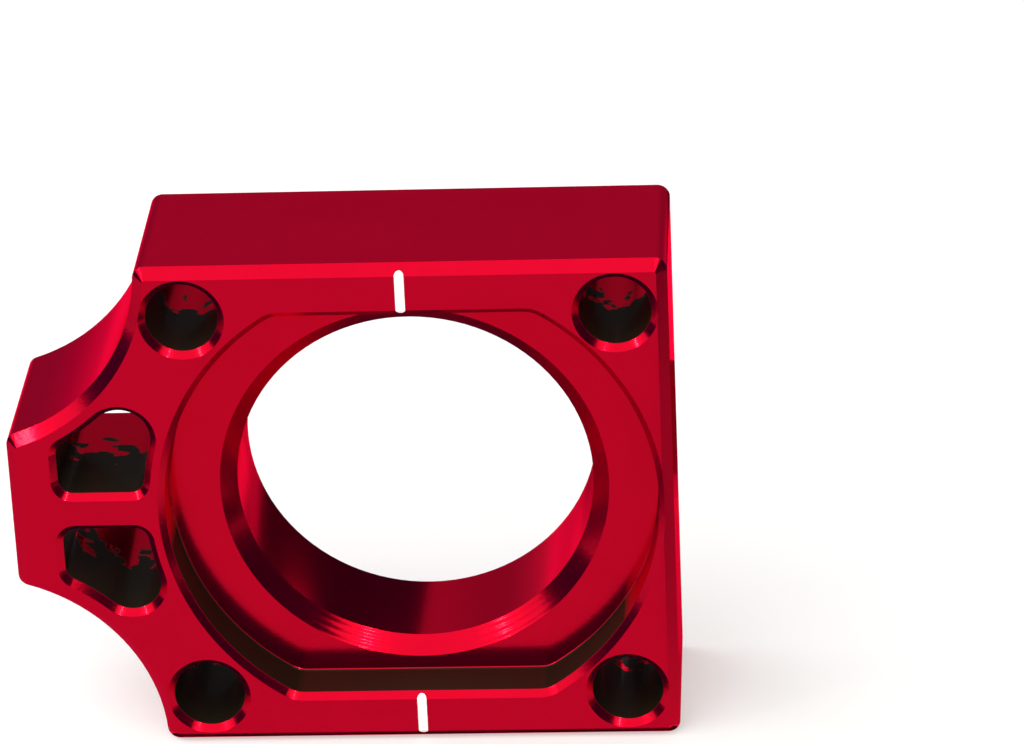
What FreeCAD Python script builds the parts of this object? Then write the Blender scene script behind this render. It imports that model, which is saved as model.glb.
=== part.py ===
"""Axle block of a motorcycle chain adjuster, in millimetres.

One block of aluminium, milled from billet.  It slides in the slot of the swingarm and carries
one end of the rear axle: the axle runs through the bore, its head lies in the recess on the
outer face, and the adjuster bolt presses on the flat end of the nose.

Frame: the origin is on the bore's axis, half way through the block's thickness.  -X points
along the nose, -Y out of the outer face with the recess, and +Z up.  The block is the same
above and below Z = 0.
"""

import FreeCAD, Part
import math
import os

# Bore and what lies round it, from the axle outwards
AXLE_D = 25.0            # rear axle
AXLE_CLEARANCE = 0.1     # on the diameter, so that the axle slides in by hand
LEAD_IN = 1.13           # 45 degree lead-in from the recess floor to the bore
SEAT_WIDTH = 3.57        # flat floor that the axle's head bears on, from lead-in to round wall
FLAT_LAND = 1.08         # floor between the lead-in and the recess's flat walls
RAIL = 3.76              # metal over and under the recess, as far as the sliding faces
BORE_BACK_CHAMFER = 0.6

# Block
THICKNESS = 13.2
TAIL_WALL = 1.0          # thin wall between the recess and the tail end
SHOULDER_WALL = 1.05     # from the recess to the shoulders, on the nose's side
NOSE_LENGTH = 9.73       # shoulders to the flat end that the adjuster bolt presses on
SCALLOP_R = 13.2         # round cut over and under the nose
CORNER_LAND = 0.15       # what the outer face's chamfer leaves of each corner's radius
FACE_CHAMFER = 0.75      # round the outer face
BACK_BREAK = 0.25        # round the back face, the pockets and the corner holes there

# Recess for the axle's head
RECESS_DEPTH = 3.55
CUTTER_R = 2.0           # corner that the cutter leaves between round and flat walls
MOUTH_CHAMFER = 0.46     # at the mouths of the recess, the pockets and the corner holes
FLOOR_CHAMFER = 0.14     # left by the cutter's own corner, where the recess's wall meets its floor

# Pockets through the nose, one over and one under a web
NOSE_WALL = 3.43         # pocket to the end of the nose
SCALLOP_WALL = 1.9       # pocket to the scallop, all along
RECESS_WEB = 1.45        # pocket to the recess's round wall, all along
CENTRE_WEB = 2.8         # between the two pockets
TIP_EXTRA = 0.75         # the round tip is wider than the neck between the two walls
POCKET_CORNER_R = 1.0

# Corner holes, in line with the recess's flat walls
HOLE_D = 5.02
HOLE_TAIL_INSET = 3.62
HOLE_SHOULDER_INSET = 3.2

# Index marks over and under the bore, read against the scale on the swingarm
MARK_WIDTH = 0.68        # half-round groove, as deep as its radius

OVERRUN = 1.0            # cutters start this far outside the face that they cut
SAME = 1e-4              # places closer than this are one place

# Places that follow from the sizes
BORE_R = (AXLE_D + AXLE_CLEARANCE) / 2
LEAD_R = BORE_R + LEAD_IN
RECESS_R = LEAD_R + SEAT_WIDTH
FLAT_Z = LEAD_R + FLAT_LAND
HALF_HEIGHT = FLAT_Z + RAIL
TAIL_X = RECESS_R + TAIL_WALL
SHOULDER_X = -(RECESS_R + SHOULDER_WALL)
NOSE_X = SHOULDER_X - NOSE_LENGTH
FRONT_Y = -THICKNESS / 2
BACK_Y = THICKNESS / 2
FLOOR_Y = FRONT_Y + RECESS_DEPTH
SCALLOP_X = SHOULDER_X - SCALLOP_R
CORNER_R = FACE_CHAMFER + CORNER_LAND


def at(x, z, y=0.0):
    """Point x to the right, z up and y into the block."""
    return FreeCAD.Vector(x, y, z)


def on_circle(cx, cz, r, angle):
    """Point on a circle in the face's plane, with the angle in degrees from +X towards +Z."""
    a = math.radians(angle)
    return at(cx + r * math.cos(a), cz + r * math.sin(a))


def heading(cx, cz, point):
    """Angle in degrees at which a circle's centre sees a point."""
    return math.degrees(math.atan2(point.z - cz, point.x - cx))


def line(p, q):
    return Part.LineSegment(p, q).toShape()


def arc(cx, cz, r, start, end):
    """Arc about (cx, cz) from one angle to the other, by way of the angle half way between."""
    return Part.Arc(on_circle(cx, cz, r, start),
                    on_circle(cx, cz, r, (start + end) / 2),
                    on_circle(cx, cz, r, end)).toShape()


def prism(edges, y0, y1):
    """Solid between two depths, over an outline drawn at y = 0."""
    face = Part.Face(Part.Wire(edges))
    face.translate(at(0, 0, y0))
    return face.extrude(at(0, 0, y1 - y0))


def edges_along_y(solid):
    """Edges of a prism that run through its thickness, one at each corner of its outline."""
    return [e for e in solid.Edges if e.BoundBox.XLength < SAME and e.BoundBox.ZLength < SAME]


def corners_at(solid, places):
    """The edges through the thickness that stand at the given (x, z) places."""
    return [e for e in edges_along_y(solid)
            if any(abs(e.BoundBox.XMin - x) < SAME and abs(e.BoundBox.ZMin - z) < SAME
                   for x, z in places)]


def edges_at(solid, y):
    """Edges of the end face at one depth."""
    return [e for e in solid.Edges
            if abs(e.BoundBox.YMin - y) < SAME and abs(e.BoundBox.YMax - y) < SAME]


def revolved(profile):
    """Solid of revolution about the bore's axis, from (radius, y) points round its section."""
    points = [FreeCAD.Vector(r, y, 0) for r, y in profile]
    wire = Part.makePolygon(points + points[:1])
    return Part.Face(wire).revolve(at(0, 0), FreeCAD.Vector(0, 1, 0), 360)


def blank():
    """The block before anything is cut into its faces: outline, rounded corners and chamfers."""
    nose_z = HALF_HEIGHT - math.sqrt(SCALLOP_R ** 2 - (NOSE_X - SCALLOP_X) ** 2)
    upper = heading(SCALLOP_X, HALF_HEIGHT, at(NOSE_X, nose_z))
    outline = [
        line(at(NOSE_X, -nose_z), at(NOSE_X, nose_z)),
        arc(SCALLOP_X, HALF_HEIGHT, SCALLOP_R, upper, 0),
        line(at(SHOULDER_X, HALF_HEIGHT), at(TAIL_X, HALF_HEIGHT)),
        line(at(TAIL_X, HALF_HEIGHT), at(TAIL_X, -HALF_HEIGHT)),
        line(at(TAIL_X, -HALF_HEIGHT), at(SHOULDER_X, -HALF_HEIGHT)),
        arc(SCALLOP_X, -HALF_HEIGHT, SCALLOP_R, 0, -upper),
    ]
    solid = prism(outline, FRONT_Y, BACK_Y)
    solid = solid.makeFillet(CORNER_R, edges_along_y(solid))
    solid = solid.makeChamfer(FACE_CHAMFER, edges_at(solid, FRONT_Y))
    return solid.makeChamfer(BACK_BREAK, edges_at(solid, BACK_Y))


def bore_cutter():
    """Bore with its lead-in from the recess floor and a chamfer at the back face."""
    return revolved([
        (0, FLOOR_Y - OVERRUN),
        (LEAD_R, FLOOR_Y - OVERRUN),
        (LEAD_R, FLOOR_Y),
        (BORE_R, FLOOR_Y + LEAD_IN),
        (BORE_R, BACK_Y - BORE_BACK_CHAMFER),
        (BORE_R + BORE_BACK_CHAMFER + OVERRUN, BACK_Y + OVERRUN),
        (0, BACK_Y + OVERRUN),
    ])


def recess_prism(grow, y0, y1):
    """Round recess with two flat walls, its outline moved outwards by grow."""
    r = RECESS_R + grow
    flat = FLAT_Z + grow
    x = math.sqrt(r ** 2 - flat ** 2)
    angle = math.degrees(math.asin(flat / r))
    solid = prism([
        arc(0, 0, r, -angle, angle),
        line(at(x, flat), at(-x, flat)),
        arc(0, 0, r, 180 - angle, 180 + angle),
        line(at(-x, -flat), at(x, -flat)),
    ], y0, y1)
    return solid.makeFillet(CUTTER_R + grow, edges_along_y(solid))


def pocket_prism(grow, y0, y1):
    """Upper pocket of the nose, its outline moved outwards by grow.

    The pocket keeps a wall of one thickness to the nose's end, the scallop, the recess and the
    web between the pockets.  The scallop's and the recess's walls draw together to a neck, and
    a round tip that touches both closes the pocket there.
    """
    left = NOSE_X + NOSE_WALL - grow
    bottom = CENTRE_WEB / 2 - grow
    outer_r = SCALLOP_R + SCALLOP_WALL - grow
    inner_r = RECESS_R + RECESS_WEB - grow

    # Tip: a circle that touches the scallop's wall and the recess's wall from the nose's side
    centres = math.hypot(SCALLOP_X, HALF_HEIGHT)
    neck = centres - outer_r - inner_r
    tip_r = neck / 2 + TIP_EXTRA
    to_recess = inner_r + tip_r
    to_scallop = outer_r + tip_r
    along = (centres ** 2 + to_recess ** 2 - to_scallop ** 2) / (2 * centres)
    aside = math.sqrt(to_recess ** 2 - along ** 2)
    ux, uz = SCALLOP_X / centres, HALF_HEIGHT / centres
    tip_x = along * ux - aside * uz
    tip_z = along * uz + aside * ux

    corner_z = HALF_HEIGHT - math.sqrt(outer_r ** 2 - (left - SCALLOP_X) ** 2)
    foot_x = -math.sqrt(inner_r ** 2 - bottom ** 2)
    tip = at(tip_x, tip_z)
    from_scallop = heading(tip_x, tip_z, at(SCALLOP_X, HALF_HEIGHT))
    from_recess = heading(tip_x, tip_z, at(0, 0))
    solid = prism([
        line(at(left, bottom), at(left, corner_z)),
        arc(SCALLOP_X, HALF_HEIGHT, outer_r,
            heading(SCALLOP_X, HALF_HEIGHT, at(left, corner_z)),
            heading(SCALLOP_X, HALF_HEIGHT, tip)),
        arc(tip_x, tip_z, tip_r, from_scallop, from_recess),
        arc(0, 0, inner_r, heading(0, 0, tip), heading(0, 0, at(foot_x, bottom))),
        line(at(foot_x, bottom), at(left, bottom)),
    ], y0, y1)
    corners = corners_at(solid, [(left, bottom), (left, corner_z), (foot_x, bottom)])
    return solid.makeFillet(POCKET_CORNER_R + grow, corners)


def flare(outline_prism, face_y, inwards, chamfer):
    """45 degree flare of an outline at one face; inwards is 1 or -1, the way into the block."""
    inner_y = face_y + inwards * chamfer
    mouth = outline_prism(chamfer, inner_y, face_y - inwards * OVERRUN)
    return mouth.makeChamfer(chamfer, edges_at(mouth, inner_y))


def recess_cutter():
    """Recess for the axle's head: flared mouth, and a small chamfer where wall meets floor."""
    recess = recess_prism(0, FRONT_Y, FLOOR_Y)
    recess = recess.makeChamfer(FLOOR_CHAMFER, edges_at(recess, FLOOR_Y))
    return recess.fuse(flare(recess_prism, FRONT_Y, 1, MOUTH_CHAMFER))


def pocket_cutter():
    """Upper pocket with its flares at the outer face and at the back."""
    pocket = pocket_prism(0, FRONT_Y, BACK_Y)
    return pocket.fuse([flare(pocket_prism, FRONT_Y, 1, MOUTH_CHAMFER),
                        flare(pocket_prism, BACK_Y, -1, BACK_BREAK)])


def hole_cutter(x, z):
    """Corner hole, with a chamfer at the outer face and a broken edge at the back."""
    r = HOLE_D / 2
    front_r = r + MOUTH_CHAMFER + OVERRUN
    back_r = r + BACK_BREAK + OVERRUN
    cutter = revolved([
        (0, FRONT_Y - OVERRUN),
        (front_r, FRONT_Y - OVERRUN),
        (r, FRONT_Y + MOUTH_CHAMFER),
        (r, BACK_Y - BACK_BREAK),
        (back_r, BACK_Y + OVERRUN),
        (0, BACK_Y + OVERRUN),
    ])
    cutter.translate(at(x, z))
    return cutter


def mark_cutter(side):
    """Half-round groove from the edge of the recess to the sliding face, over or under it."""
    inside = FLAT_Z - OVERRUN
    length = RAIL + 2 * OVERRUN
    return Part.makeCylinder(MARK_WIDTH / 2, length, at(0, side * inside, FRONT_Y), at(0, side))


def axle_block():
    """The finished block."""
    upper_pocket = pocket_cutter()
    lower_pocket = upper_pocket.mirror(at(0, 0), at(0, 1))
    cutters = [bore_cutter(), recess_cutter(), upper_pocket, lower_pocket]
    for side in (1, -1):
        for x in (TAIL_X - HOLE_TAIL_INSET, SHOULDER_X + HOLE_SHOULDER_INSET):
            cutters.append(hole_cutter(x, side * FLAT_Z))
        cutters.append(mark_cutter(side))
    return blank().cut(cutters).Solids[0]


os.makedirs("parts", exist_ok=True)
block = axle_block()
block.exportStep("parts/axle_block.step")
size = block.BoundBox
print("valid", block.isValid(), "volume", round(block.Volume, 1))
print("box", [round(v, 2) for v in (size.XMin, size.XMax, size.YMin, size.YMax, size.ZMin, size.ZMax)])
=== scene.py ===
import math

import bpy
import numpy as np
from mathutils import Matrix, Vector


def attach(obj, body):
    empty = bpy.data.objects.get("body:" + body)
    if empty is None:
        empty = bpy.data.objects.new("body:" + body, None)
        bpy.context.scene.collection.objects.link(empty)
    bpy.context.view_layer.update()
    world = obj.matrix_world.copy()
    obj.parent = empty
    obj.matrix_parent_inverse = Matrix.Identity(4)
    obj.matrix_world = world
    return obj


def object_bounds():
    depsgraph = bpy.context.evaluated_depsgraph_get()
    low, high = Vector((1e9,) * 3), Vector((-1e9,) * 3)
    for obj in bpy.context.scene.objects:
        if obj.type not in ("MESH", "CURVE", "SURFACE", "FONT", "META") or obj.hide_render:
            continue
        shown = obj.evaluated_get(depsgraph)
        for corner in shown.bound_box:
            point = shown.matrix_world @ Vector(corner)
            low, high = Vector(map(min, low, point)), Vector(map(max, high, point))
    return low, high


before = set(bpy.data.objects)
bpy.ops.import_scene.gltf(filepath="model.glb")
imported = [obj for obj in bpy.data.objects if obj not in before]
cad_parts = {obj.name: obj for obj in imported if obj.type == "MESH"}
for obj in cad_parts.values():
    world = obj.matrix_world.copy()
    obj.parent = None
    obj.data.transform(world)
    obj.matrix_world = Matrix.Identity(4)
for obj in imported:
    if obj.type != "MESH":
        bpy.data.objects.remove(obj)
cad_low, cad_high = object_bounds()


# Axle block. One machined piece of aluminium plate: profile, recess, nose pockets and holes are milled,
# the bore and its lead-in are turned, and the whole is bead blasted lightly and dyed red by anodising.
# Its shape comes from the frame; here it gets its finish.
MM = 0.001
BORE_RADIUS = 12.55 * MM
LEAD_RADIUS = 13.68 * MM
LEAD_FRONT = -3.05 * MM
LEAD_BACK = -1.92 * MM
FRONT_Y = -6.6 * MM
BACK_RIM_Y = 6.35 * MM
MOUTH_CHAMFER = 0.46 * MM
HOLE_RADIUS = 2.51 * MM
HOLE_Z = 14.76 * MM
HOLES_MIDDLE = -0.235 * MM
HOLES_SPAN = 14.865 * MM
POCKET_LEFT = -24.6 * MM
POCKET_RIGHT = -15.0 * MM
POCKET_TOP = 10.0 * MM
POCKET_ROUND = 18.70 * MM
SCALLOP_X = -31.5 * MM
SCALLOP_Z = 18.52 * MM
POCKET_SCALLOP = 15.1 * MM
WEB_HALF = 1.4 * MM
RECESS_RADIUS = 17.25 * MM
RECESS_FLAT = 14.76 * MM


def linear(hex_colour):
    """Red, green and blue of an sRGB hex colour, each turned to linear light, with an alpha of 1."""
    parts = [int(hex_colour[i:i + 2], 16) / 255 for i in (1, 3, 5)]
    return tuple(c / 12.92 if c <= 0.04045 else ((c + 0.055) / 1.055) ** 2.4 for c in parts) + (1.0,)


def add(tree, kind, links=(), sockets=(), **settings):
    """Add a node of this kind, set its settings and socket values, and link (socket, source) pairs into it."""
    node = tree.nodes.new(kind)
    for name, value in settings.items():
        setattr(node, name, value)
    for socket, value in sockets:
        node.inputs[socket].default_value = value
    for socket, source in links:
        tree.links.new(source, node.inputs[socket])
    return node


def new_material(name):
    """An empty node material of this name, with its output node."""
    material = bpy.data.materials.new(name)
    material.use_nodes = True
    material.node_tree.nodes.clear()
    return material, material.node_tree, material.node_tree.nodes.new("ShaderNodeOutputMaterial")


# Red anodised aluminium: a clear oxide layer dyed deep red over bright metal, so it shines as a red mirror
# blurred by the fine blasted grain, goes pale only where it is seen edge on, and keeps the cutter's marks.
red, tree, out = new_material("red_anodised_aluminium")
place = add(tree, "ShaderNodeTexCoord").outputs["Object"]
axes = add(tree, "ShaderNodeSeparateXYZ", [("Vector", place)]).outputs

# Blasted grain, 0.25 mm across: finer in life, drawn as coarse as it needs to show.
grain = add(tree, "ShaderNodeTexNoise", [("Vector", place)],
            [("Scale", 1 / (0.25 * MM)), ("Detail", 3.0), ("Roughness", 0.6)]).outputs["Fac"]
# Bar stock lines run lengthwise, 5 mm long and 0.2 mm apart, and show most on the outer sides.
stretched = add(tree, "ShaderNodeMapping", [("Vector", place)], [("Scale", (1 / 25, 1.0, 1.0))]).outputs["Vector"]
streaks = add(tree, "ShaderNodeTexNoise", [("Vector", stretched)],
              [("Scale", 1 / (0.2 * MM)), ("Detail", 4.0), ("Roughness", 0.55)]).outputs["Fac"]
# The dye takes a little unevenly, in soft patches about 4 mm across.
patches = add(tree, "ShaderNodeTexNoise", [("Vector", place)],
              [("Scale", 1 / (4 * MM)), ("Detail", 5.0), ("Roughness", 0.62)]).outputs["Fac"]

# Turning marks: one ring every 0.36 mm of depth, wider than the real feed so that they show.
rings = add(tree, "ShaderNodeMath", [(0, axes["Y"])], [(1, 2 * math.pi / (0.36 * MM))], operation="MULTIPLY")
rings = add(tree, "ShaderNodeMath", [(0, rings.outputs[0])], operation="SINE").outputs[0]
across = add(tree, "ShaderNodeCombineXYZ", [("X", axes["X"]), ("Y", axes["Z"])]).outputs[0]
radius = add(tree, "ShaderNodeVectorMath", [(0, across)], operation="LENGTH").outputs["Value"]
in_lead = add(tree, "ShaderNodeMapRange", [("Value", radius)],
              [("From Min", LEAD_RADIUS + 0.03 * MM), ("From Max", LEAD_RADIUS - 0.02 * MM)]).outputs["Result"]
past_floor = add(tree, "ShaderNodeMapRange", [("Value", axes["Y"])],
                 [("From Min", LEAD_FRONT), ("From Max", LEAD_FRONT + 0.05 * MM)]).outputs["Result"]
before_bore = add(tree, "ShaderNodeMapRange", [("Value", axes["Y"])],
                  [("From Min", LEAD_BACK), ("From Max", LEAD_BACK - 0.05 * MM)]).outputs["Result"]
low_side = add(tree, "ShaderNodeMapRange", [("Value", axes["Z"])],
               [("From Min", -9.0 * MM), ("From Max", -11.5 * MM)]).outputs["Result"]
turned = add(tree, "ShaderNodeMath", [(0, in_lead), (1, past_floor)], operation="MULTIPLY").outputs[0]
turned = add(tree, "ShaderNodeMath", [(0, turned), (1, before_bore)], operation="MULTIPLY").outputs[0]
turned = add(tree, "ShaderNodeMath", [(0, turned), (1, low_side)], operation="MULTIPLY").outputs[0]
turned_rings = add(tree, "ShaderNodeMath", [(0, rings), (1, turned)], operation="MULTIPLY").outputs[0]

# Holes and pockets keep the rough wall of the drill and the end mill. Their walls carry painted shade: a darker red
# all through, and nearly black near the outer face, ending in a torn edge about half way through, further in on the
# lower ones.
height = add(tree, "ShaderNodeMath", [(0, axes["Z"])], operation="ABSOLUTE").outputs[0]
aside = add(tree, "ShaderNodeMath", [(0, axes["X"])], [(1, HOLES_MIDDLE)], operation="SUBTRACT").outputs[0]
aside = add(tree, "ShaderNodeMath", [(0, aside)], operation="ABSOLUTE").outputs[0]
folded = add(tree, "ShaderNodeCombineXYZ", [("X", aside), ("Y", height)]).outputs[0]
from_hole = add(tree, "ShaderNodeVectorMath", [(0, folded)], [(1, (HOLES_SPAN, HOLE_Z, 0.0))],
                operation="DISTANCE").outputs["Value"]
in_hole = add(tree, "ShaderNodeMapRange", [("Value", from_hole)],
              [("From Min", HOLE_RADIUS + 0.08 * MM), ("From Max", HOLE_RADIUS + 0.03 * MM)]).outputs["Result"]
over = add(tree, "ShaderNodeCombineXYZ", [("X", axes["X"]), ("Y", height)]).outputs[0]
from_scallop = add(tree, "ShaderNodeVectorMath", [(0, over)], [(1, (SCALLOP_X, SCALLOP_Z, 0.0))],
                   operation="DISTANCE").outputs["Value"]
in_pocket = None
for value, least, sense in ((radius, POCKET_ROUND, 1), (from_scallop, POCKET_SCALLOP, 1), (height, WEB_HALF, 1),
                            (height, POCKET_TOP, -1), (axes["X"], POCKET_LEFT, 1), (axes["X"], POCKET_RIGHT, -1)):
    past = add(tree, "ShaderNodeMapRange", [("Value", value)],
               [("From Min", least - sense * 0.08 * MM), ("From Max", least - sense * 0.03 * MM)]).outputs["Result"]
    if in_pocket is None:
        in_pocket = past
    else:
        in_pocket = add(tree, "ShaderNodeMath", [(0, in_pocket), (1, past)], operation="MULTIPLY").outputs[0]
inside = add(tree, "ShaderNodeMath", [(0, in_hole), (1, in_pocket)], operation="MAXIMUM").outputs[0]
torn = add(tree, "ShaderNodeTexNoise", [("Vector", place)],
           [("Scale", 1 / (1.6 * MM)), ("Detail", 2.0)]).outputs["Fac"]
shift = add(tree, "ShaderNodeMapRange", [("Value", torn)],
            [("From Min", 0.35), ("From Max", 0.65), ("To Min", -2.2 * MM), ("To Max", 2.2 * MM)]).outputs["Result"]
depth = add(tree, "ShaderNodeMath", [(0, axes["Y"]), (1, shift)], operation="ADD").outputs[0]
deeper = add(tree, "ShaderNodeMapRange", [("Value", axes["Z"])],
             [("From Min", -14 * MM), ("From Max", -8 * MM), ("To Min", -2.0 * MM), ("To Max", 0.0)]).outputs["Result"]
depth = add(tree, "ShaderNodeMath", [(0, depth), (1, deeper)], operation="ADD").outputs[0]
near = add(tree, "ShaderNodeMapRange", [("Value", depth)],
           [("From Min", 0.8 * MM), ("From Max", 0.2 * MM)]).outputs["Result"]
past_mouth = add(tree, "ShaderNodeMapRange", [("Value", axes["Y"])],
                 [("From Min", FRONT_Y + MOUTH_CHAMFER - 0.03 * MM),
                  ("From Max", FRONT_Y + MOUTH_CHAMFER + 0.05 * MM)]).outputs["Result"]
# The round walls of the recess get the same near-black painted shade on their low side, from higher up towards the
# nose.
slanted = add(tree, "ShaderNodeVectorMath", [(0, place)], [(1, (0.2, 0.0, 1.0))], operation="DOT_PRODUCT").outputs["Value"]
on_recess_wall = None
for value, most, blend, least in ((radius, RECESS_RADIUS + 0.1 * MM, 0.03 * MM, 0.0),
                                  (height, RECESS_FLAT - 0.05 * MM, 0.03 * MM, 0.98),
                                  (axes["Y"], LEAD_FRONT - 0.04 * MM, 0.03 * MM, 0.0),
                                  (slanted, -5.2 * MM, 1.3 * MM, 0.0)):
    before = add(tree, "ShaderNodeMapRange", [("Value", value)],
                 [("From Min", most + blend), ("From Max", most - blend), ("To Min", least)]).outputs["Result"]
    if on_recess_wall is None:
        on_recess_wall = before
    else:
        on_recess_wall = add(tree, "ShaderNodeMath", [(0, on_recess_wall), (1, before)],
                             operation="MULTIPLY").outputs[0]
before_back = add(tree, "ShaderNodeMapRange", [("Value", axes["Y"])],
                  [("From Min", BACK_RIM_Y), ("From Max", BACK_RIM_Y - 0.05 * MM)]).outputs["Result"]
inside = add(tree, "ShaderNodeMath", [(0, inside), (1, past_mouth)], operation="MULTIPLY").outputs[0]
inside = add(tree, "ShaderNodeMath", [(0, inside), (1, before_back)], operation="MULTIPLY").outputs[0]
on_recess_wall = add(tree, "ShaderNodeMath", [(0, on_recess_wall), (1, past_mouth)],
                     operation="MULTIPLY").outputs[0]
rough_wall_and_painted_shade = add(tree, "ShaderNodeMath", [(0, inside), (1, near)], operation="MULTIPLY").outputs[0]
rough_wall_and_painted_shade = add(tree, "ShaderNodeMath", [(0, rough_wall_and_painted_shade), (1, on_recess_wall)], operation="MAXIMUM").outputs[0]

dye_and_painted_shade = add(tree, "ShaderNodeMixRGB", [("Fac", patches)],
          [("Color1", linear("#DF0323")), ("Color2", linear("#EB0629"))])
# Painted shade: a darker red inside the holes and pockets, and near black on their rough walls near the face and on the
# recess's low walls.
dye_and_painted_shade = add(tree, "ShaderNodeMixRGB", [("Fac", inside), ("Color1", dye_and_painted_shade.outputs[0])],
          [("Color2", linear("#B00422"))])
dye_and_painted_shade = add(tree, "ShaderNodeMixRGB", [("Fac", rough_wall_and_painted_shade), ("Color1", dye_and_painted_shade.outputs[0])],
          [("Color2", linear("#1D1810"))])
sheen = add(tree, "ShaderNodeMapRange", [("Value", streaks)], [("To Min", 0.13), ("To Max", 0.20)]).outputs["Result"]
dull = add(tree, "ShaderNodeMapRange", [("Value", rough_wall_and_painted_shade)], [("To Min", 0.0), ("To Max", 0.4)]).outputs["Result"]
sheen = add(tree, "ShaderNodeMath", [(0, sheen), (1, dull)], operation="ADD")
outside_painted_shade = add(tree, "ShaderNodeMath", [(1, rough_wall_and_painted_shade)], [(0, 1.0)], operation="SUBTRACT").outputs[0]
grain_bump = add(tree, "ShaderNodeBump", [("Height", grain)], [("Strength", 0.12), ("Distance", 0.02 * MM)])
streak_bump = add(tree, "ShaderNodeBump", [("Height", streaks), ("Normal", grain_bump.outputs[0])],
                  [("Strength", 0.15), ("Distance", 0.02 * MM)])
ring_bump = add(tree, "ShaderNodeBump", [("Height", turned_rings), ("Normal", streak_bump.outputs[0])],
                [("Strength", 0.25), ("Distance", 0.02 * MM)])
metal = add(tree, "ShaderNodeBsdfPrincipled",
            [("Base Color", dye_and_painted_shade.outputs[0]), ("Roughness", sheen.outputs[0]), ("Normal", ring_bump.outputs[0]),
             ("Metallic", outside_painted_shade), ("Coat Normal", ring_bump.outputs[0])],
            [("Specular Tint", linear("#F9BCBC")), ("Specular IOR Level", 0.1), ("Coat Weight", 0.05),
             ("Coat Roughness", 0.05)])
# Seen nearly edge on, the dyed layer still tints what the metal mirrors, so a red gloss takes over there.
edge_on = add(tree, "ShaderNodeLayerWeight", sockets=[("Blend", 0.5)]).outputs["Facing"]
tinted = add(tree, "ShaderNodeMapRange", [("Value", edge_on)],
             [("From Min", 0.42), ("From Max", 0.72)]).outputs["Result"]
tinted = add(tree, "ShaderNodeMath", [(0, tinted), (1, outside_painted_shade)], operation="MULTIPLY").outputs[0]
gloss = add(tree, "ShaderNodeBsdfAnisotropic", [("Roughness", sheen.outputs[0]), ("Normal", ring_bump.outputs[0])],
            [("Color", linear("#E5072F"))])
shine = add(tree, "ShaderNodeMixShader", [("Fac", tinted), (1, metal.outputs[0]), (2, gloss.outputs[0])])
# The dyed layer also glows a little of itself, in crimson, which keeps corners that mirror each other from
# going scarlet.
layer = add(tree, "ShaderNodeBsdfDiffuse", sockets=[("Color", linear("#A00062"))])
glow = add(tree, "ShaderNodeMath", [(0, outside_painted_shade)], [(1, 0.045)], operation="MULTIPLY")
surface = add(tree, "ShaderNodeMixShader", [("Fac", glow.outputs[0]), (1, shine.outputs[0]), (2, layer.outputs[0])])
tree.links.new(surface.outputs[0], out.inputs["Surface"])

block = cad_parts["axle_block"]
for slot in block.material_slots:
    slot.material = red


# Index paint. White enamel wiped into the two engraved index grooves, one above and one below the bore.
# It lies just under the face, hollow in the middle as it dried, and tapers out where the groove meets the
# chamfers at its ends.
GROOVE_RADIUS = 0.34 * MM
PAINT_SKIN = 0.985
PAINT_HOLLOW = 0.035 * MM
MOUTH_EDGE = 15.22 * MM
OUTLINE_EDGE = 17.77 * MM


def index_paint(name, up):
    """A closed bar of paint. At each height its section is a circle segment: below, the arc of the groove,
    and above, a shallow parabola between the arc's ends. Its depth under the face is a constant, plus the
    distance past either chamfer's edge, so the section shrinks to a point at both ends."""
    radius = GROOVE_RADIUS * PAINT_SKIN
    top = 0.02 * MM
    reach = radius - top
    turn = (1 - np.cos(np.linspace(0, np.pi, 65))) / 2
    height = MOUTH_EDGE - reach + turn * (OUTLINE_EDGE - MOUTH_EDGE + 2 * reach)
    depth = top + np.maximum(np.maximum(MOUTH_EDGE - height, height - OUTLINE_EDGE), 0)
    depth = np.minimum(depth, radius * 0.9999)[:, None]
    half = np.sqrt(radius ** 2 - depth ** 2)
    side = np.linspace(-1, 1, 17)[None, :]
    open_angle = np.arcsin(half / radius)
    arc = np.linspace(1, -1, 17)[1:-1][None, :]
    x = np.hstack([half * side, radius * np.sin(open_angle * arc)])
    sink = PAINT_HOLLOW * (half / radius) * (1 - side ** 2)
    y = FRONT_Y + np.hstack([depth + np.minimum(sink, (radius - depth) * 0.5), radius * np.cos(open_angle * arc)])
    z = np.broadcast_to(height[:, None], x.shape)
    rows, cols = x.shape
    points = np.stack([x, y, up * z], axis=-1).reshape(-1, 3)
    row, col = np.meshgrid(np.arange(rows - 1), np.arange(cols), indexing="ij")
    after = (col + 1) % cols
    quads = np.stack([row * cols + col, (row + 1) * cols + col, (row + 1) * cols + after, row * cols + after], -1)
    quads = quads.reshape(-1, 4)
    if up > 0:
        quads = quads[:, ::-1]
    mesh = bpy.data.meshes.new(name)
    mesh.from_pydata(points.tolist(), [], quads.tolist())
    mesh.validate()
    return mesh


# White enamel: an opaque gloss paint dried slightly dull, with a faint unevenness from the wiping.
paint, tree, out = new_material("white_index_enamel")
place = add(tree, "ShaderNodeTexCoord").outputs["Object"]
wiping = add(tree, "ShaderNodeTexNoise", [("Vector", place)], [("Scale", 1 / (0.4 * MM)), ("Detail", 4.0)])
tone = add(tree, "ShaderNodeMixRGB", [("Fac", wiping.outputs["Fac"])],
           [("Color1", linear("#F1F1EC")), ("Color2", linear("#FFFFFF"))])
ripple = add(tree, "ShaderNodeBump", [("Height", wiping.outputs["Fac"])],
             [("Strength", 0.3), ("Distance", 0.03 * MM)])
enamel = add(tree, "ShaderNodeBsdfPrincipled", [("Base Color", tone.outputs[0]), ("Normal", ripple.outputs[0])],
             [("Roughness", 0.42)])
tree.links.new(enamel.outputs[0], out.inputs["Surface"])

for name, up in (("index_paint_upper", 1), ("index_paint_lower", -1)):
    piece = bpy.data.objects.new(name, index_paint(name, up))
    bpy.context.collection.objects.link(piece)
    piece.data.materials.append(paint)
    for face in piece.data.polygons:
        face.use_smooth = True
    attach(piece, "root")


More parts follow.
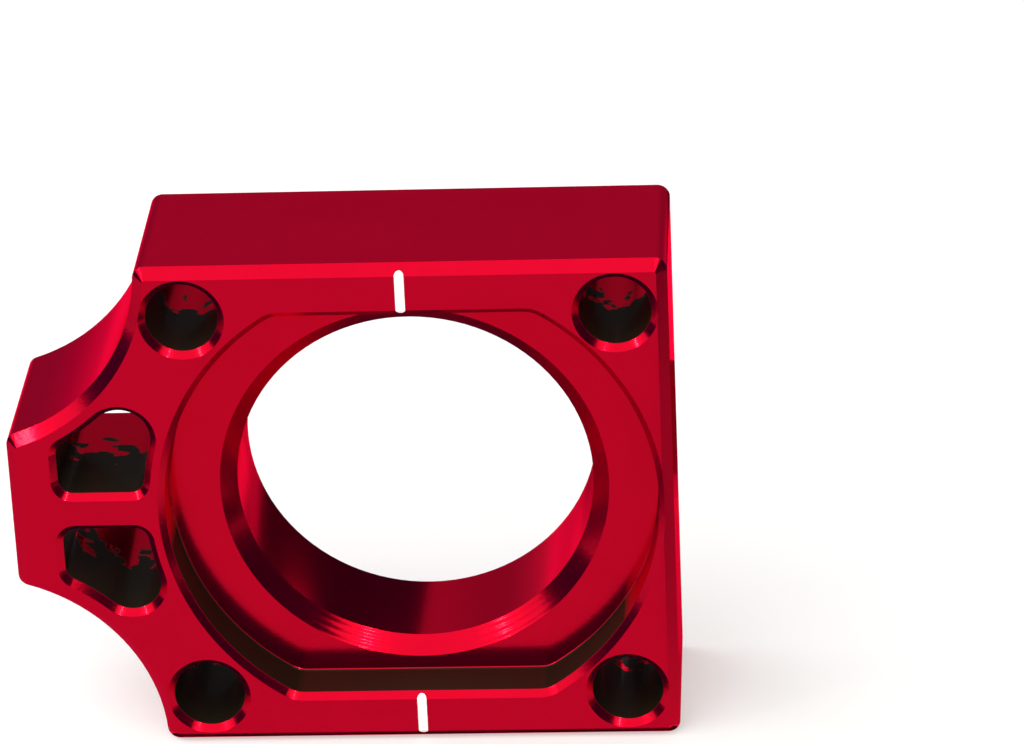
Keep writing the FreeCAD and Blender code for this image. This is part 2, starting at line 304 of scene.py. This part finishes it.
# Floor. A pale sheet under the block that runs out past the picture on all sides.
FLOOR_Z = cad_low[2]
floor_mesh = bpy.data.meshes.new("studio_floor")
floor_mesh.from_pydata([(-2, -2, FLOOR_Z), (2, -2, FLOOR_Z), (2, 2, FLOOR_Z), (-2, 2, FLOOR_Z)], [], [(0, 1, 2, 3)])
floor = bpy.data.objects.new("studio_floor", floor_mesh)
bpy.context.collection.objects.link(floor)

# White paper: near the block about a third of what the camera and the metal see of it is plain white and the rest takes
# light and shadow; the white share grows to all of it 0.4 m out, so the block keeps a soft shadow on a white ground.
paper, tree, out = new_material("white_paper")
rays = add(tree, "ShaderNodeLightPath").outputs
fibres = add(tree, "ShaderNodeTexNoise", sockets=[("Scale", 60.0), ("Detail", 6.0)])
paper_tone = add(tree, "ShaderNodeMixRGB", [("Fac", fibres.outputs["Fac"])],
                 [("Color1", linear("#F3F3F3")), ("Color2", linear("#FAFAFA"))])
matt = add(tree, "ShaderNodeBsdfDiffuse", [("Color", paper_tone.outputs[0])])
white = add(tree, "ShaderNodeEmission", sockets=[("Color", (1, 1, 1, 1)), ("Strength", 1.0)])
seen = add(tree, "ShaderNodeMath", [(0, rays["Is Camera Ray"]), (1, rays["Is Glossy Ray"])], operation="MAXIMUM")
seen = add(tree, "ShaderNodeMath", [(0, seen.outputs[0]), (1, rays["Is Transmission Ray"])], operation="MAXIMUM")
far = add(tree, "ShaderNodeVectorMath", [(0, add(tree, "ShaderNodeTexCoord").outputs["Object"])], operation="LENGTH")
whiter = add(tree, "ShaderNodeMapRange", [("Value", far.outputs["Value"])],
             [("From Min", 0.08), ("From Max", 0.4), ("To Min", 0.35), ("To Max", 1.0)])
share = add(tree, "ShaderNodeMath", [(0, seen.outputs[0]), (1, whiter.outputs[0])], operation="MULTIPLY")
mix = add(tree, "ShaderNodeMixShader", [("Fac", share.outputs[0]), (1, matt.outputs[0]), (2, white.outputs[0])])
tree.links.new(mix.outputs[0], out.inputs["Surface"])
floor_mesh.materials.append(paper)


# Flags and cards. Black cloth hung round the set and seen only in the metal: it gives the dark bands that
# polished metal needs. Grey cards in front and behind tone down the front and the top face.
black, tree, out = new_material("black_flag_cloth")
cloth = add(tree, "ShaderNodeEmission", sockets=[("Color", linear("#1A1511")), ("Strength", 1.0)])
tree.links.new(cloth.outputs[0], out.inputs["Surface"])


def graded_card(name, axis, stops):
    """An emissive card whose strength runs through (place in metres, strength) stops along one axis."""
    material, tree, out = new_material(name)
    place = add(tree, "ShaderNodeTexCoord").outputs["Object"]
    along = add(tree, "ShaderNodeSeparateXYZ", [("Vector", place)]).outputs[axis]
    value = None
    for (start, low), (end, high) in zip(stops, stops[1:]):
        step = add(tree, "ShaderNodeMapRange", [("Value", along)],
                   [("From Min", start), ("From Max", end), ("To Min", 0.0), ("To Max", high - low)])
        if value is None:
            value = add(tree, "ShaderNodeMath", [(0, step.outputs[0])], [(1, low)]).outputs[0]
        else:
            value = add(tree, "ShaderNodeMath", [(0, value), (1, step.outputs[0])]).outputs[0]
    glow = add(tree, "ShaderNodeEmission", [("Strength", value)], [("Color", (1, 1, 1, 1))])
    tree.links.new(glow.outputs[0], out.inputs["Surface"])
    return material


def hang(name, points, quads, material):
    """A flag or card of the set, seen only in the metal."""
    mesh = bpy.data.meshes.new(name)
    mesh.from_pydata(points, [], quads)
    mesh.materials.append(material)
    flag = bpy.data.objects.new(name, mesh)
    bpy.context.collection.objects.link(flag)
    flag.visible_camera = False
    flag.visible_diffuse = False
    flag.visible_shadow = False
    flag.visible_transmission = False


def curtain(name, distance, turns, lows, highs, material):
    """Part of a cylinder's wall round the block. Angles run from the front towards +X, in degrees. The
    slopes at which the block sees its lower and upper edge are given at each of the turns."""
    angle = np.linspace(turns[0], turns[-1], 49)
    low = np.tan(np.radians(np.interp(angle, turns, lows)))
    high = np.tan(np.radians(np.interp(angle, turns, highs)))
    z = np.maximum(np.stack([low, high]) * distance, FLOOR_Z)
    x = np.broadcast_to(distance * np.sin(np.radians(angle)), z.shape)
    y = np.broadcast_to(-distance * np.cos(np.radians(angle)), z.shape)
    points = np.stack([x, y, z], -1).reshape(-1, 3)
    first = np.arange(len(angle) - 1)
    quads = np.stack([first, first + 1, first + 1 + len(angle), first + len(angle)], -1)
    hang(name, points.tolist(), quads.tolist(), material)


curtain("front_flag", 0.27, (-100, -60, -52, -48, -22, -12, 12, 22, 50, 54, 65, 85),
        (-4, -1, 2, 24, 24, 8, 8, 24, 25, -8, -8, -8), (22, 23, 26, 28, 36, 38, 38, 38, 44, 44, 44, 40), black)
front_scrim_grey = graded_card("front_grey_scrim", "Z", ((-0.0185, 0.62), (0.15, 0.72)))
curtain("front_scrim", 0.275, (-60, 60), (-8, -8), (30, 30), front_scrim_grey)
CARD_Z = FLOOR_Z + 0.1 * MM


def floor_card(name, patches, material):
    """Rectangles just over the floor, each given as its least and greatest x and y."""
    points = []
    for x0, x1, y0, y1 in patches:
        points += [(x0, y0, CARD_Z), (x1, y0, CARD_Z), (x1, y1, CARD_Z), (x0, y1, CARD_Z)]
    quads = [tuple(range(i, i + 4)) for i in range(0, len(points), 4)]
    hang(name, points, quads, material)


# Towards the right this card grows darker: painted shadow, standing for the block's shadow on the floor to its right as
# the metal sees it.
front_grey = graded_card("front_grey_card", "X", (
    (-0.2, 0.45), (-0.05, 0.62), (0.019, 0.62), (0.026, 0.52), (0.04, 0.4), (0.06, 0.36), (0.083, 0.34), (0.2, 0.1)))
floor_card("front_card", ((-0.26, 0.0185, -0.26, FRONT_Y), (0.0185, 0.26, -0.26, -0.06), (0.055, 0.085, -0.06, -0.0095),
                          (0.0185, 0.26, -0.0095, 0.005), (-0.26, -0.031, FRONT_Y, 0.05),
                          (-0.031, -0.0184, FRONT_Y, 0.006)), front_grey)
floor_card("right_front_card", ((0.0185, 0.055, -0.06, -0.0095), (0.085, 0.26, -0.06, -0.0095)), black)
# Painted shadow: a card under and just behind the foot, dark near the block and grey further back, stands for the
# block's contact shadow where the metal sees the floor.
foot_shadow_grey = graded_card("painted_foot_shadow_card", "Y", ((0.0, 0.03), (0.013, 0.03), (0.022, 0.7)))
floor_card("foot_shadow_card", ((-0.0182, 0.0182, FRONT_Y + 0.4 * MM, 0.022),), foot_shadow_grey)
rear_floor_grey = graded_card("rear_floor_grey_card", "Y", ((0.04, 0.82), (0.1, 0.8), (0.2, 0.66)))
floor_card("rear_card", ((-0.03, 0.3, 0.04, 0.12), (-0.3, 0.3, 0.12, 0.3)), rear_floor_grey)
rear_floor_white = graded_card("rear_floor_white_card", "Y", ((0.03, 1.2), (0.12, 1.2)))
floor_card("rear_left_card", ((-0.3, -0.03, 0.05, 0.12),), rear_floor_white)
rear_grey = graded_card("rear_grey_scrim", "Z", (
    (-0.0185, 0.62), (0.0, 0.47), (0.016, 0.4), (0.053, 0.27), (0.12, 0.3), (0.146, 0.4)))
curtain("rear_scrim", 0.3, (100, 260), (-8, -8), (60, 60), rear_grey)
curtain("rear_flag", 0.05, (140, 184), (-30, -30), (20, 26), black)
tail_white, tree, out = new_material("tail_card_face")
tail_glow = add(tree, "ShaderNodeEmission", sockets=[("Color", (1, 1, 1, 1)), ("Strength", 2.2)])
tree.links.new(tail_glow.outputs[0], out.inputs["Surface"])
hang("tail_card", [(0.0165, 0.04, -0.0122), (0.024, 0.04, -0.0122), (0.024, 0.04, 0.004), (0.0165, 0.04, 0.004)],
     [(0, 1, 2, 3)], tail_white)
shade_grey = graded_card("shade_grey_card", "Y", ((0.03, 0.9), (0.036, 0.4)))
floor_card("shade_card", ((-0.001, 0.04, 0.03, 0.049),), shade_grey)
red_card, tree, out = new_material("dark_red_card")
card_face = add(tree, "ShaderNodeEmission", sockets=[("Color", linear("#7D0418")), ("Strength", 1.0)])
tree.links.new(card_face.outputs[0], out.inputs["Surface"])
low_card = [(0.012, FLOOR_Z), (0.0184, FLOOR_Z), (0.022, FLOOR_Z), (0.04, FLOOR_Z),
            (0.012, -0.0044), (0.0184, -0.0044), (0.0184, -0.0085), (0.022, -0.0085), (0.022, -0.0044), (0.04, -0.0044)]
hang("right_low_card", [(x, 0.034, z) for x, z in low_card], [(0, 1, 5, 4), (1, 2, 7, 6), (2, 3, 9, 8)], red_card)


# Studio light. One wide soft box overhead, reaching further to the left, and two small soft lamps that
# give the short bright glints, over an even fill from the room.
def soft_lamp(name, centre, aim, size, radiance, colour=(1.0, 1.0, 1.0)):
    """A rectangular lamp facing its aim. Its power is the radiance times four times its area."""
    lamp = bpy.data.lights.new(name, "AREA")
    lamp.shape = "RECTANGLE"
    lamp.size = size[0]
    lamp.size_y = size[1]
    lamp.energy = radiance * 4 * size[0] * size[1]
    lamp.color = colour
    holder = bpy.data.objects.new(name, lamp)
    holder.location = centre
    away = np.array(aim) - np.array(centre)
    away = away / np.linalg.norm(away)
    holder.rotation_euler = (math.acos(-away[2]), 0.0, math.atan2(away[1], away[0]) - math.pi / 2)
    bpy.context.collection.objects.link(holder)
    return holder


soft_box = soft_lamp("overhead_soft_box", (-0.36, -0.33, 0.45), (-0.3, -0.3, 0.0), (1.5, 0.8), 1.7)
soft_box.visible_glossy = False
box_face, tree, out = new_material("soft_box_face")
face_glow = add(tree, "ShaderNodeEmission", sockets=[("Color", (1, 1, 1, 1)), ("Strength", 1.12)])
tree.links.new(face_glow.outputs[0], out.inputs["Surface"])
hang("soft_box_front", [(-1.0, -0.66, 0.499), (0.4, -0.66, 0.499), (0.4, 0.0, 0.499), (-1.0, 0.0, 0.499)],
     [(0, 1, 2, 3)], box_face)
hang("rear_overhead_flag", [(-1.5, 0.1, 0.49), (-0.1, 0.1, 0.49), (0.2, 0.1, 0.49), (-1.5, 0.15, 0.49),
                            (-0.1, 0.15, 0.49), (-0.1, 0.45, 0.49), (0.2, 0.45, 0.49)],
     [(0, 1, 4, 3), (1, 2, 6, 5)], black)
overhead_grey = graded_card("overhead_grey_card", "X", ((-0.3, 0.6), (0.2, 0.55)))
hang("rear_overhead_card", [(-1.5, 0.15, 0.49), (-0.1, 0.15, 0.49), (-0.1, 0.45, 0.49), (-1.5, 0.45, 0.49)],
     [(0, 1, 2, 3)], overhead_grey)
soft_lamp("left_glint_lamp", (-0.379, -0.219, 0.409), (0.0, 0.0, 0.0), (0.04, 0.04), 36.0, (1.0, 1.0, 0.5))
soft_lamp("right_glint_lamp", (0.197, -0.292, 0.485), (0.0, 0.0, 0.0), (0.04, 0.04), 36.0, (1.0, 1.0, 0.5))

world = bpy.data.worlds.new("studio_room")
bpy.context.scene.world = world
world.use_nodes = True
tree = world.node_tree
tree.nodes.clear()
rays = add(tree, "ShaderNodeLightPath").outputs
seen = add(tree, "ShaderNodeMath", [(0, rays["Is Camera Ray"]), (1, rays["Is Glossy Ray"])], operation="MAXIMUM")
seen = add(tree, "ShaderNodeMath", [(0, seen.outputs[0]), (1, rays["Is Transmission Ray"])], operation="MAXIMUM")
fill = add(tree, "ShaderNodeBackground", sockets=[("Color", (1, 1, 1, 1)), ("Strength", 0.6)])
backdrop = add(tree, "ShaderNodeBackground", sockets=[("Color", (1, 1, 1, 1)), ("Strength", 1.0)])
mix = add(tree, "ShaderNodeMixShader",
          [("Fac", seen.outputs[0]), (1, fill.outputs[0]), (2, backdrop.outputs[0])])
room = add(tree, "ShaderNodeOutputWorld", [("Surface", mix.outputs[0])])
bpy.context.scene.view_settings.view_transform = "Standard"


# Camera. Just right of the bore's axis and above it, looking down 26 degrees, level but for a small roll.
lens = bpy.data.cameras.new("camera")
lens.sensor_width = 36
lens.lens = 175.954
camera = bpy.data.objects.new("camera", lens)
camera.location = (0.02699, -0.314519, 0.160048)
camera.rotation_euler = tuple(math.radians(a) for a in (64.10657, 2.30770, 2.51387))
bpy.context.collection.objects.link(camera)
bpy.context.scene.camera = camera
